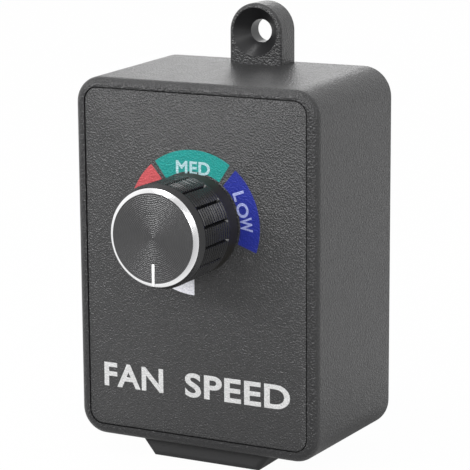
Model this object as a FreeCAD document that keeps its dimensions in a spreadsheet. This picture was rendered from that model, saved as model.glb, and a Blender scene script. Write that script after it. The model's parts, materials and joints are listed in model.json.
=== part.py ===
import FreeCAD, Part
import math
import os
import re

import Sketcher

# Fan speed control switch: a wall box with a dial knob on its front,
# a hanging tab on top and a boss with two cord inlets underneath.
# Everything is drawn in front view: x to the right, y up and z forward
# from the wall, about the middle of the rear face. A placement then turns
# each piece so that up is +Z and the front looks along -Y.

SIZES = {
    # Moulded box
    "body_width": 76.5,
    "body_height": 105.0,
    "body_depth": 47.0,
    "draft_growth": 1.1,
    "corner_radius": 7.5,
    "front_edge_radius": 2.4,
    "wall": 2.5,
    "front_wall": 3.2,
    # Face panel in its recess
    "panel_side_margin": 3.4,
    "panel_top_margin": 3.0,
    "panel_bottom_margin": 3.4,
    "panel_corner": 3.8,
    "panel_thickness": 1.0,
    "panel_sink": 0.1,
    "panel_gap": 0.35,
    # Hanging tab
    "tab_thickness": 9.0,
    "tab_radius": 8.4,
    "tab_height": 62.8,
    "tab_edge": 1.1,
    "hang_radius": 3.4,
    "countersink_radius": 7.1,
    "countersink_depth": 4.2,
    # Cord boss
    "boss_setback": 5.0,
    "boss_length": 21.5,
    "boss_top_half": 20.4,
    "boss_foot_half": 16.9,
    "boss_step": 1.7,
    "boss_drop": 6.1,
    "boss_edge": 1.8,
    "inlet_radius": 3.75,
    "inlet_spacing": 17.0,
    # Cord clamp
    "clamp_half": 20.0,
    "clamp_rise": 5.0,
    "clamp_thickness": 6.0,
    "clamp_height": 8.0,
    "clamp_screw_spacing": 33.0,
    "grip_squeeze": 0.25,
    # Rear cover and its pillars
    "cover_thickness": 2.5,
    "cover_gap": 0.15,
    "rebate": 1.2,
    "pillar_radius": 3.6,
    "pillar_inset_x": 6.35,
    "pillar_inset_y": 6.4,
    "rib_width": 1.6,
    "rib_height": 2.0,
    "rib_spacing": 30.0,
    # Screws
    "screw_radius": 1.5,
    "screw_length": 9.0,
    "head_radius": 2.7,
    "head_height": 1.7,
    "thread_gap": 0.05,
    "head_gap": 0.3,
    "recess_width": 0.7,
    "recess_depth": 1.0,
    "board_screw_radius": 1.2,
    "board_screw_length": 6.0,
    "board_head_radius": 2.3,
    "board_head_height": 1.4,
    # Dial knob
    "dial_height": 13.2,
    "knob_reach": 23.1,
    "knob_lift": 0.5,
    "knob_front_radius": 13.7,
    "bevel_width": 1.2,
    "bevel_depth": 1.0,
    "collar_length": 2.9,
    "grip_radius": 14.05,
    "foot_radius": 14.3,
    "foot_length": 5.5,
    "foot_chamfer": 0.3,
    "knob_wall": 2.1,
    "knob_face": 3.0,
    "notch_width": 1.0,
    "notch_depth": 0.6,
    "notch_phase": 6.5,
    "pointer_width": 0.9,
    "pointer_depth": 0.25,
    "pointer_start": 7.1,
    # Knob insert on the shaft
    "insert_gap": 0.05,
    "insert_inset": 0.6,
    "insert_recess": 6.8,
    "insert_recess_length": 3.2,
    "shaft_radius": 3.0,
    "shaft_length": 18.0,
    "shaft_flat": 1.5,
    "flat_length": 10.0,
    "shaft_gap": 0.05,
    "shaft_end_gap": 0.5,
    # Rotary control behind the wall
    "bushing_radius": 3.5,
    "bushing_length": 6.5,
    "bushing_gap": 0.1,
    "flange_radius": 8.25,
    "flange_thickness": 1.5,
    "lug_width": 2.8,
    "lug_thickness": 1.2,
    "lug_reach": 1.0,
    "lug_offset": 6.4,
    "washer_radius": 5.5,
    "washer_thickness": 0.6,
    "nut_flats": 10.0,
    "nut_thickness": 2.0,
    "wafer_thickness": 1.5,
    "wafer_foot": 13.5,
    "wafer_foot_half": 7.0,
    "can_wall": 0.5,
    "can_length": 5.5,
    "rotor_radius": 6.4,
    "rotor_thickness": 2.6,
    "rotor_gap": 0.3,
    "clip_radius": 4.2,
    "clip_thickness": 0.6,
    "clip_groove": 0.4,
    "switch_length": 6.8,
    "strip_rise": 4.0,
    "pin_width": 1.2,
    "pin_thickness": 0.5,
    "pin_spacing": 5.0,
    "pin_tail": 1.0,
    # Circuit board and what stands on it
    "board_side_gap": 4.75,
    "board_pillar_gap": 3.6,
    "board_clamp_gap": 6.0,
    "board_gap": 1.5,
    "board_thickness": 1.6,
    "post_radius": 3.0,
    "post_inset": 4.0,
    "lead_radius": 0.4,
    "lead_gap": 0.15,
    "sink_left": 27.0,
    "sink_width": 19.0,
    "sink_foot": 2.0,
    "sink_height": 24.0,
    "sink_base": 2.5,
    "sink_pin_radius": 0.7,
    "sink_pin_inset": 4.0,
    "fin_height": 8.0,
    "fin_width": 1.2,
    "fin_pitch": 3.0,
    "triac_side": 1.0,
    "triac_rise": 2.5,
    "triac_width": 10.0,
    "triac_body": 9.0,
    "triac_thickness": 4.5,
    "triac_tab": 6.3,
    "triac_tab_thickness": 1.3,
    "triac_lead_out": 1.4,
    "triac_lead_root": 1.0,
    "core_radius": 9.0,
    "core_bore": 5.0,
    "core_thickness": 8.0,
    "wire_size": 0.9,
    "wire_gap": 0.05,
    "choke_x": 15.5,
    "choke_y": 21.0,
    "film_width": 18.0,
    "film_depth": 8.5,
    "film_height": 12.0,
    "film_x": 17.0,
    "film_y": 4.2,
    "snubber_width": 13.0,
    "snubber_depth": 6.0,
    "snubber_height": 10.0,
    "snubber_y": 6.0,
    "part_edge": 0.6,
    "part_lift": 0.3,
    "fuse_length": 20.0,
    "fuse_radius": 2.5,
    "cap_length": 5.0,
    "cap_wall": 0.3,
    "glass_wall": 0.6,
    "fuse_x": 19.0,
    "fuse_y": 16.0,
    "fuse_lift": 4.2,
    "clip_width": 3.4,
    "clip_wall": 0.4,
    "clip_reach": 1.5,
    "clip_mouth": 4.0,
    "resistor_radius": 1.2,
    "resistor_length": 6.4,
    "diac_radius": 0.9,
    "diac_length": 4.0,
    "axial_span": 10.0,
    "axial_pitch": 4.0,
    "axial_y": 8.0,
    "block_pitch": 5.08,
    "block_depth": 9.5,
    "block_height": 12.0,
    "block_y": 20.0,
    "block_wall": 3.0,
    "block_floor": 4.0,
    "wire_entry": 3.2,
    "block_screw_radius": 1.6,
    "block_screw_length": 4.0,
}
NOTCHES = 16
FINS = 3
TURNS = 18
TERMINALS = 4
RESISTORS = 3

doc = FreeCAD.newDocument("fan_speed_control")
sheet = doc.addObject("Spreadsheet::Sheet", "sizes")
for row, (name, size) in enumerate(SIZES.items(), start=1):
    sheet.set("A%d" % row, name)
    sheet.set("B%d" % row, str(size))
    sheet.setAlias("B%d" % row, name)
doc.recompute()

gauge = doc.addObject("App::FeaturePython", "gauge")
gauge.addProperty("App::PropertyFloat", "amount")

FRONT_VIEW = FreeCAD.Rotation(FreeCAD.Vector(1, 0, 0), 90)
ALONG = {
    "forward": FreeCAD.Rotation(),
    "up": FreeCAD.Rotation(FreeCAD.Vector(1, 0, 0), -90),
    "across": FreeCAD.Rotation(FreeCAD.Vector(0, 1, 0), 90),
}

# Places that several pieces share, as sums of the sizes
INNER_FRONT = "(body_depth - front_wall)"
PANEL_FRONT = "(body_depth - panel_sink)"
KNOB_REAR = "(body_depth + knob_lift)"
KNOB_FRONT = "(body_depth + knob_reach)"
FLANGE_REAR = "(body_depth - front_wall - flange_thickness)"
WAFER_REAR = "(body_depth - front_wall - flange_thickness - wafer_thickness)"
CAN_REAR = "(body_depth - front_wall - flange_thickness - wafer_thickness - can_length)"
BACK_HALF_WIDTH = "(body_width / 2 + draft_growth)"
BACK_HALF_HEIGHT = "(body_height / 2 + draft_growth)"
PILLAR_X = "(body_width / 2 + draft_growth - pillar_inset_x)"
PILLAR_Y = "(body_height / 2 + draft_growth - pillar_inset_y)"
BOARD_FRONT = "(%s - switch_length - board_gap)" % CAN_REAR
BOARD_REAR = "(%s - switch_length - board_gap - board_thickness)" % CAN_REAR
BOARD_HALF = "(body_width / 2 - wall - board_side_gap)"
BOARD_HIGH = "(%s - pillar_radius - board_pillar_gap)" % PILLAR_Y
BOARD_LOW = "(clamp_height + clamp_rise / 2 + board_clamp_gap - body_height / 2)"
INLET_FORWARD = "(body_depth - boss_setback - boss_length / 2)"
CLAMP_Y = "(clamp_height - body_height / 2)"
CORNERS = ((1, 1), (-1, 1), (-1, -1), (1, -1))


def bound(expression):
    """Name the sheet before each of its sizes in an expression."""
    def with_sheet(match):
        word = match.group()
        return "sizes." + word if word in SIZES else word
    return re.sub(r"[a-z]\w*", with_sheet, expression)


def value(expression):
    """Work out an expression of the sheet's sizes as a number."""
    gauge.setExpression("amount", bound(expression))
    gauge.recompute()
    return gauge.amount


def bind(item, **properties):
    """Tie properties to expressions; x, y and z are the place of the item."""
    for name, expression in properties.items():
        path = "Placement.Base." + name if name in "xyz" else name
        item.setExpression(path, bound(expression))


def stand(item, x="0", y="0"):
    """Turn a finished piece from front view to its place in the world."""
    item.Placement = FreeCAD.Placement(FreeCAD.Vector(), FRONT_VIEW)
    item.setExpression("Placement.Base.x", bound(x))
    item.setExpression("Placement.Base.z", bound(y))
    return item


# Sketches and features

def start_body(label):
    body = doc.addObject("PartDesign::Body", label)
    body.Label = label
    body.AllowCompound = True
    return body


def origin_feature(body, role):
    return next(item for item in body.Origin.OriginFeatures if item.Role == role)


def start_sketch(body, role="XY_Plane", offset="0"):
    sketch = body.newObject("Sketcher::SketchObject", body.Label + "_sketch")
    sketch.AttachmentSupport = [(origin_feature(body, role), "")]
    sketch.MapMode = "FlatFace"
    sketch.setExpression("AttachmentOffset.Base.z", bound(offset))
    return sketch


def dimension(sketch, kind, where, expression):
    """Add one driving dimension that follows the sheet."""
    number = sketch.addConstraint(Sketcher.Constraint(kind, *where, value(expression)))
    sketch.setExpression("Constraints[%d]" % number, bound(expression))


def locate(sketch, element, point, x, y):
    """Hold a point of a sketch at x and y from the origin."""
    for kind, axis, expression in (("DistanceX", -2, x), ("DistanceY", -1, y)):
        if expression == "0":
            sketch.addConstraint(Sketcher.Constraint("PointOnObject", element, point, axis))
        else:
            dimension(sketch, kind, (-1, 1, element, point), expression)


def polygon(sketch, points):
    """Draw a closed outline of straight lines through the points."""
    places = [FreeCAD.Vector(value(x), value(y), 0) for x, y in points]
    first = sketch.GeometryCount
    count = len(points)
    for index in range(count):
        sketch.addGeometry(Part.LineSegment(places[index], places[(index + 1) % count]), False)
    for index in range(count):
        after = first + (index + 1) % count
        sketch.addConstraint(Sketcher.Constraint("Coincident", first + index, 2, after, 1))
    for index, (x, y) in enumerate(points):
        locate(sketch, first + index, 1, x, y)


def circle(sketch, x, y, radius):
    centre = FreeCAD.Vector(value(x), value(y), 0)
    number = sketch.addGeometry(Part.Circle(centre, FreeCAD.Vector(0, 0, 1), value(radius)), False)
    locate(sketch, number, 3, x, y)
    dimension(sketch, "Radius", (number,), radius)


def rounded_rectangle(sketch, left, right, bottom, top, radius):
    """Draw a rectangle whose corners are arcs tangent to its sides."""
    x0, x1, y0, y1, r = (value(item) for item in (left, right, bottom, top, radius))
    vector = FreeCAD.Vector
    first = sketch.GeometryCount
    sides = (
        (vector(x0 + r, y0, 0), vector(x1 - r, y0, 0)),
        (vector(x1, y0 + r, 0), vector(x1, y1 - r, 0)),
        (vector(x1 - r, y1, 0), vector(x0 + r, y1, 0)),
        (vector(x0, y1 - r, 0), vector(x0, y0 + r, 0)),
    )
    for start, end in sides:
        sketch.addGeometry(Part.LineSegment(start, end), False)
    centres = ((x1 - r, y0 + r), (x1 - r, y1 - r), (x0 + r, y1 - r), (x0 + r, y0 + r))
    for quarter, (cx, cy) in enumerate(centres):
        full = Part.Circle(vector(cx, cy, 0), vector(0, 0, 1), r)
        begin = (quarter - 1) * math.pi / 2
        sketch.addGeometry(Part.ArcOfCircle(full, begin, begin + math.pi / 2), False)
    for corner in range(4):
        side = first + corner
        arc = first + 4 + corner
        following = first + (corner + 1) % 4
        sketch.addConstraint(Sketcher.Constraint("Tangent", side, 2, arc, 1))
        sketch.addConstraint(Sketcher.Constraint("Tangent", arc, 2, following, 1))
        if corner:
            sketch.addConstraint(Sketcher.Constraint("Equal", first + 4, arc))
    for side, direction in enumerate(("Horizontal", "Vertical", "Horizontal", "Vertical")):
        sketch.addConstraint(Sketcher.Constraint(direction, first + side))
    dimension(sketch, "Radius", (first + 4,), radius)
    dimension(sketch, "DistanceX", (-1, 1, first + 3, 1), left)
    dimension(sketch, "DistanceX", (-1, 1, first + 1, 1), right)
    dimension(sketch, "DistanceY", (-1, 1, first, 1), bottom)
    dimension(sketch, "DistanceY", (-1, 1, first + 2, 1), top)


def add_feature(body, kind, sketch, **settings):
    """Add a feature made from a sketch and recompute the piece."""
    feature = body.newObject("PartDesign::" + kind, body.Label + "_" + kind.lower())
    feature.Profile = sketch
    for name, setting in settings.items():
        if isinstance(setting, str) and name in ("Length", "TaperAngle"):
            feature.setExpression(name, bound(setting))
        else:
            setattr(feature, name, setting)
    sketch.Visibility = False
    doc.recompute()
    return feature


def revolve(body, kind, sketch, axis="V_Axis"):
    """Turn a sketch once round its own vertical or horizontal axis."""
    return add_feature(body, kind, sketch, ReferenceAxis=(sketch, [axis]), Angle=360.0)


def turned(label, points, y="dial_height"):
    """Make a turned piece from points of radius and distance forward."""
    body = start_body(label)
    sketch = start_sketch(body, "XZ_Plane")
    polygon(sketch, points)
    revolve(body, "Revolution", sketch)
    stand(body, y=y)
    return body


def round_edges(body, radius, chosen):
    """Round the edges of the piece that a test picks by their middle."""
    before = body.Tip
    names = []
    for number, edge in enumerate(before.Shape.Edges, start=1):
        if chosen(edge):
            names.append("Edge%d" % number)
    fillet = body.newObject("PartDesign::Fillet", body.Label + "_fillet")
    fillet.Base = (before, names)
    fillet.setExpression("Radius", bound(radius))
    doc.recompute()


def middle(edge):
    return edge.CenterOfMass


def lies_at(edge, axis, place):
    """Tell whether an edge lies wholly in a plane square to an axis."""
    low = getattr(edge.BoundBox, axis + "Min")
    high = getattr(edge.BoundBox, axis + "Max")
    return abs(low - place) < 0.01 and abs(high - place) < 0.01


# Plain solids

def box(name, x, y, z):
    """Make a box from a start and a length in each direction."""
    item = doc.addObject("Part::Box", name)
    bind(item, x=x[0], y=y[0], z=z[0], Length=x[1], Width=y[1], Height=z[1])
    return item


def rod(name, radius, length, x="0", y="0", z="0", along="forward"):
    """Make a cylinder from the middle of its first end."""
    item = doc.addObject("Part::Cylinder", name)
    item.Placement = FreeCAD.Placement(FreeCAD.Vector(), ALONG[along])
    bind(item, x=x, y=y, z=z, Radius=radius, Height=length)
    return item


def join(name, items):
    item = doc.addObject("Part::MultiFuse", name)
    item.Shapes = items
    item.Refine = True
    return item


def cut(name, base, tools):
    item = doc.addObject("Part::Cut", name)
    item.Base = base
    item.Tool = tools[0] if len(tools) == 1 else join(name + "_tools", tools)
    return item


def group(name, items):
    """Gather like solids in one piece without joining them."""
    item = doc.addObject("Part::Compound", name)
    item.Links = items
    return item


def finish(item, label, x="0", y="0"):
    item.Label = label
    return stand(item, x, y)


def screw(name, x, y, seat, sizes, reach):
    """Make a cross head screw whose head rests on its seat, driven from behind."""
    radius, head_radius, head_height = sizes
    shank = rod(name + "_shank", radius, reach, x, y, seat)
    head = rod(name + "_head", head_radius, head_height, x, y, "%s - %s" % (seat, head_height))
    span = "(%s * 1.3)" % head_radius
    arms = []
    for turn, (wide, tall) in enumerate((("recess_width", span), (span, "recess_width"))):
        arms.append(box(
            "%s_arm%d" % (name, turn),
            ("%s - %s / 2" % (x, wide), wide),
            ("%s - %s / 2" % (y, tall), tall),
            ("%s - %s" % (seat, head_height), "recess_depth"),
        ))
    return cut(name, join(name + "_blank", [shank, head]), arms)


def signed(sign, expression):
    return expression if sign > 0 else "(-1 * %s)" % expression


# Moulded housing

def make_housing():
    body = start_body("front_housing")
    outline = start_sketch(body)
    rounded_rectangle(
        outline, "-1 * " + BACK_HALF_WIDTH, BACK_HALF_WIDTH,
        "-1 * " + BACK_HALF_HEIGHT, BACK_HALF_HEIGHT, "corner_radius + draft_growth")
    add_feature(body, "Pad", outline, Length="body_depth",
                TaperAngle="-1 * atan(draft_growth / body_depth)")
    front = value("body_depth")
    round_edges(body, "front_edge_radius", lambda edge: lies_at(edge, "Z", front))

    # Hanging tab, flush with the rear face
    tab = start_sketch(body)
    arch(tab, "tab_radius", "body_height / 2 - wall / 2", "tab_height")
    add_feature(body, "Pad", tab, Length="tab_thickness")
    tab_front = value("tab_thickness")
    above = value("body_height / 2 + draft_growth + 1")
    round_edges(body, "tab_edge",
                lambda edge: lies_at(edge, "Z", tab_front) and middle(edge).y > above)

    # Boss for the two cords
    boss = start_sketch(body, offset="body_depth - boss_setback - boss_length")
    sole = "-1 * body_height / 2"
    polygon(boss, [
        ("-1 * boss_top_half", sole + " + wall / 2"),
        ("-1 * boss_top_half", sole + " - boss_step"),
        ("-1 * boss_foot_half", sole + " - boss_drop"),
        ("boss_foot_half", sole + " - boss_drop"),
        ("boss_top_half", sole + " - boss_step"),
        ("boss_top_half", sole + " + wall / 2"),
    ])
    add_feature(body, "Pad", boss, Length="boss_length")
    boss_front = value("body_depth - boss_setback")
    below = value("-1 * body_height / 2 - boss_step / 2 - draft_growth / 2")
    round_edges(body, "boss_edge",
                lambda edge: lies_at(edge, "Z", boss_front) and middle(edge).y < below)

    # Cavity open to the rear, with the rebate that takes the cover
    cavity = start_sketch(body)
    inner_x = BACK_HALF_WIDTH + " - wall"
    inner_y = BACK_HALF_HEIGHT + " - wall"
    rounded_rectangle(cavity, "wall - " + BACK_HALF_WIDTH, inner_x,
                      "wall - " + BACK_HALF_HEIGHT, inner_y,
                      "corner_radius + draft_growth - wall")
    add_feature(body, "Pocket", cavity, Length="body_depth - front_wall", Reversed=True,
                TaperAngle="-1 * atan(draft_growth / body_depth)")
    rebate = start_sketch(body)
    rounded_rectangle(rebate, "wall - rebate - " + BACK_HALF_WIDTH, inner_x + " + rebate",
                      "wall - rebate - " + BACK_HALF_HEIGHT, inner_y + " + rebate",
                      "corner_radius + draft_growth - wall + rebate")
    add_feature(body, "Pocket", rebate, Length="cover_thickness", Reversed=True)

    # Corner pillars for the cover and posts for the board
    pillars = start_sketch(body, offset="cover_thickness")
    for across, up in CORNERS:
        circle(pillars, signed(across, PILLAR_X), signed(up, PILLAR_Y), "pillar_radius")
    add_feature(body, "Pad", pillars, Length="body_depth - front_wall / 2 - cover_thickness")
    posts = start_sketch(body, offset=BOARD_FRONT)
    for x, y in board_corners():
        circle(posts, x, y, "post_radius")
    add_feature(body, "Pad", posts, Length="body_depth - front_wall / 2 - " + BOARD_FRONT)

    # Saddle that the cords lie in, under their clamp
    saddle = start_sketch(body, offset=INLET_FORWARD)
    polygon(saddle, [
        ("-1 * clamp_half", CLAMP_Y + " - clamp_rise / 2"),
        ("clamp_half", CLAMP_Y + " - clamp_rise / 2"),
        ("clamp_half", CLAMP_Y + " + clamp_rise / 2"),
        ("-1 * clamp_half", CLAMP_Y + " + clamp_rise / 2"),
    ])
    add_feature(body, "Pad", saddle,
                Length="boss_setback + boss_length / 2 - front_wall / 2")

    # Screw holes, all open to the rear
    holes = start_sketch(body, offset="cover_thickness")
    for across, up in CORNERS:
        circle(holes, signed(across, PILLAR_X), signed(up, PILLAR_Y),
               "screw_radius + thread_gap")
    add_feature(body, "Pocket", holes, Length="screw_length + head_gap", Reversed=True)
    holes = start_sketch(body, offset=BOARD_FRONT)
    for x, y in board_corners():
        circle(holes, x, y, "board_screw_radius + thread_gap")
    add_feature(body, "Pocket", holes, Length="board_screw_length + head_gap", Reversed=True)
    holes = start_sketch(body, offset=INLET_FORWARD)
    for across in (1, -1):
        circle(holes, signed(across, "clamp_screw_spacing / 2"), CLAMP_Y,
               "screw_radius + thread_gap")
    add_feature(body, "Pocket", holes, Length="screw_length + head_gap", Reversed=True)

    # Cord inlets up through the boss, and the grooves of the saddle
    inlets = start_sketch(body, "XZ_Plane", "body_height / 2 + boss_drop")
    for across in (1, -1):
        circle(inlets, signed(across, "inlet_spacing / 2"), INLET_FORWARD, "inlet_radius")
    add_feature(body, "Pocket", inlets, Length="boss_drop + wall + draft_growth / 2")
    grooves = start_sketch(body, "XZ_Plane", "body_height / 2 - clamp_height + clamp_rise / 2")
    for across in (1, -1):
        circle(grooves, signed(across, "inlet_spacing / 2"), INLET_FORWARD,
               "inlet_radius - grip_squeeze")
    add_feature(body, "Pocket", grooves, Length="clamp_rise")

    # Front: panel recess, control hole and locating slot
    recess = start_sketch(body, offset="body_depth")
    left, right, bottom, top = panel_edges()
    rounded_rectangle(recess, left + " - panel_gap", right + " + panel_gap",
                      bottom + " - panel_gap", top + " + panel_gap",
                      "panel_corner + panel_gap")
    add_feature(body, "Pocket", recess, Length="panel_thickness + panel_sink")
    hole = start_sketch(body, offset="body_depth")
    circle(hole, "0", "dial_height", "bushing_radius + bushing_gap")
    add_feature(body, "Pocket", hole, Length="front_wall * 2")
    slot = start_sketch(body, offset=INNER_FRONT)
    lug_outline(slot, "bushing_gap", "dial_height")
    add_feature(body, "Pocket", slot, Length="lug_reach + bushing_gap", Reversed=True)

    # Countersunk hole in the tab
    hang = start_sketch(body, "YZ_Plane")
    axis_points = [
        ("0", "-1"),
        ("hang_radius", "-1"),
        ("hang_radius", "tab_thickness - countersink_depth"),
        ("countersink_radius", "tab_thickness"),
        ("countersink_radius", "tab_thickness + 1"),
        ("0", "tab_thickness + 1"),
    ]
    polygon(hang, [("tab_height + " + across, along) for across, along in axis_points])
    line = hang.addGeometry(Part.LineSegment(
        FreeCAD.Vector(value("tab_height"), 0, 0),
        FreeCAD.Vector(value("tab_height"), 1, 0)), True)
    hang.addConstraint(Sketcher.Constraint("Vertical", line))
    locate(hang, line, 1, "tab_height", "0")
    hang.addConstraint(Sketcher.Constraint("Distance", line, 1.0))
    revolve(body, "Groove", hang, "Axis0")
    return stand(body)


def arch(sketch, radius, base, centre):
    """Draw an upright tab outline with a half round top."""
    r, low, mid = value(radius), value(base), value(centre)
    vector = FreeCAD.Vector
    foot = sketch.addGeometry(Part.LineSegment(vector(-r, low, 0), vector(r, low, 0)), False)
    right = sketch.addGeometry(Part.LineSegment(vector(r, low, 0), vector(r, mid, 0)), False)
    full = Part.Circle(vector(0, mid, 0), vector(0, 0, 1), r)
    top = sketch.addGeometry(Part.ArcOfCircle(full, 0, math.pi), False)
    left = sketch.addGeometry(Part.LineSegment(vector(-r, mid, 0), vector(-r, low, 0)), False)
    sketch.addConstraint(Sketcher.Constraint("Coincident", foot, 2, right, 1))
    sketch.addConstraint(Sketcher.Constraint("Tangent", right, 2, top, 1))
    sketch.addConstraint(Sketcher.Constraint("Tangent", top, 2, left, 1))
    sketch.addConstraint(Sketcher.Constraint("Coincident", left, 2, foot, 1))
    sketch.addConstraint(Sketcher.Constraint("Vertical", right))
    sketch.addConstraint(Sketcher.Constraint("Vertical", left))
    sketch.addConstraint(Sketcher.Constraint("Horizontal", foot))
    locate(sketch, top, 3, "0", centre)
    dimension(sketch, "Radius", (top,), radius)
    dimension(sketch, "DistanceY", (-1, 1, foot, 1), base)


def board_corners():
    """Give the four screw places of the circuit board."""
    aside = "(%s - post_inset)" % BOARD_HALF
    levels = ("(%s - post_inset)" % BOARD_HIGH, "(%s + post_inset)" % BOARD_LOW)
    return [(signed(across, aside), y) for across in (1, -1) for y in levels]


def panel_edges():
    side = "(body_width / 2 - panel_side_margin)"
    return ("-1 * " + side, side, "panel_bottom_margin - body_height / 2",
            "body_height / 2 - panel_top_margin")


def lug_outline(sketch, gap, centre):
    """Draw the control's locating lug, left of its axis."""
    polygon(sketch, [
        ("-1 * lug_offset - %s" % gap, "%s - lug_width / 2 - %s" % (centre, gap)),
        ("lug_thickness - lug_offset + %s" % gap, "%s - lug_width / 2 - %s" % (centre, gap)),
        ("lug_thickness - lug_offset + %s" % gap, "%s + lug_width / 2 + %s" % (centre, gap)),
        ("-1 * lug_offset - %s" % gap, "%s + lug_width / 2 + %s" % (centre, gap)),
    ])


def make_cover():
    body = start_body("back_cover")
    reach_x = BACK_HALF_WIDTH + " - wall + rebate - cover_gap"
    reach_y = BACK_HALF_HEIGHT + " - wall + rebate - cover_gap"
    plate = start_sketch(body)
    rounded_rectangle(plate, "cover_gap + wall - rebate - " + BACK_HALF_WIDTH, reach_x,
                      "cover_gap + wall - rebate - " + BACK_HALF_HEIGHT, reach_y,
                      "corner_radius + draft_growth - wall + rebate - cover_gap")
    add_feature(body, "Pad", plate, Length="cover_thickness")
    ribs = start_sketch(body, offset="cover_thickness / 2")
    span_x = "(body_width / 2 - wall * 2 - pillar_radius * 2)"
    for side in (1, 0, -1):
        centre = signed(side, "rib_spacing") if side else "0 * rib_spacing"
        polygon(ribs, [
            ("-1 * " + span_x, centre + " - rib_width / 2"),
            (span_x, centre + " - rib_width / 2"),
            (span_x, centre + " + rib_width / 2"),
            ("-1 * " + span_x, centre + " + rib_width / 2"),
        ])
    add_feature(body, "Pad", ribs, Length="cover_thickness / 2 + rib_height")
    holes = start_sketch(body)
    for across, up in CORNERS:
        circle(holes, signed(across, PILLAR_X), signed(up, PILLAR_Y), "screw_radius + head_gap")
    add_feature(body, "Pocket", holes, Length="cover_thickness", Reversed=True)
    wells = start_sketch(body)
    for across, up in CORNERS:
        circle(wells, signed(across, PILLAR_X), signed(up, PILLAR_Y), "head_radius + head_gap")
    add_feature(body, "Pocket", wells, Length="head_height", Reversed=True)
    return stand(body)


def make_panel():
    body = start_body("face_panel")
    plate = start_sketch(body, offset="body_depth - panel_sink - panel_thickness")
    rounded_rectangle(plate, *panel_edges(), "panel_corner")
    add_feature(body, "Pad", plate, Length="panel_thickness")
    hole = start_sketch(body, offset="body_depth")
    circle(hole, "0", "dial_height", "bushing_radius + bushing_gap")
    add_feature(body, "Pocket", hole, Length="panel_thickness * 2")
    return stand(body)


# Dial knob

def make_knob():
    inner = "grip_radius - knob_wall"
    body = turned("control_knob", [
        ("0", KNOB_FRONT),
        ("knob_front_radius - bevel_width", KNOB_FRONT),
        ("knob_front_radius", KNOB_FRONT + " - bevel_depth"),
        ("knob_front_radius", KNOB_FRONT + " - bevel_depth - collar_length"),
        ("grip_radius", KNOB_FRONT + " - bevel_depth - collar_length"),
        ("grip_radius", KNOB_REAR + " + foot_length"),
        ("foot_radius", KNOB_REAR + " + foot_length"),
        ("foot_radius", KNOB_REAR + " + foot_chamfer"),
        ("foot_radius - foot_chamfer", KNOB_REAR),
        (inner, KNOB_REAR),
        (inner, KNOB_FRONT + " - knob_face"),
        ("0", KNOB_FRONT + " - knob_face"),
    ])
    notch = start_sketch(body, offset=KNOB_REAR + " + foot_length")
    notch.setExpression("AttachmentOffset.Rotation.Angle", bound("-1 * notch_phase"))
    polygon(notch, [
        ("-1 * notch_width / 2", "grip_radius + notch_depth"),
        ("-1 * notch_width / 2", "grip_radius"),
        ("0", "grip_radius - notch_depth"),
        ("notch_width / 2", "grip_radius"),
        ("notch_width / 2", "grip_radius + notch_depth"),
    ])
    pocket = add_feature(
        body, "Pocket", notch, Reversed=True,
        Length="knob_reach - knob_lift - foot_length - bevel_depth - collar_length")
    pattern = body.newObject("PartDesign::PolarPattern", "control_knob_notches")
    pattern.Originals = [pocket]
    pattern.Axis = (origin_feature(body, "Z_Axis"), [""])
    pattern.Angle = 360
    pattern.Occurrences = NOTCHES
    body.Tip = pattern
    doc.recompute()
    pointer = start_sketch(body, offset=KNOB_FRONT)
    polygon(pointer, [
        ("-1 * pointer_width / 2", "-1 * pointer_start"),
        ("-1 * pointer_width / 2", "-1.1 * knob_front_radius"),
        ("pointer_width / 2", "-1.1 * knob_front_radius"),
        ("pointer_width / 2", "-1 * pointer_start"),
    ])
    add_feature(body, "Pocket", pointer, Length="pointer_depth")
    return body


def make_insert():
    outer = "grip_radius - knob_wall - insert_gap"
    rear = KNOB_REAR + " + insert_inset"
    bore = "shaft_radius + shaft_gap"
    bore_end = INNER_FRONT + " + shaft_length + shaft_end_gap"
    body = turned("knob_insert", [
        ("0", KNOB_FRONT + " - knob_face"),
        (outer, KNOB_FRONT + " - knob_face"),
        (outer, rear),
        ("insert_recess", rear),
        ("insert_recess", rear + " + insert_recess_length"),
        (bore, rear + " + insert_recess_length"),
        (bore, bore_end),
        ("0", bore_end),
    ])
    flat = start_sketch(body, offset=bore_end + " - flat_length")
    polygon(flat, [
        ("-1 * shaft_radius - 1", "shaft_flat + shaft_gap"),
        ("-1 * shaft_radius - 1", "shaft_radius + 1"),
        ("shaft_radius + 1", "shaft_radius + 1"),
        ("shaft_radius + 1", "shaft_flat + shaft_gap"),
    ])
    add_feature(body, "Pad", flat, Length="flat_length")
    return body


# Rotary control

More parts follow.
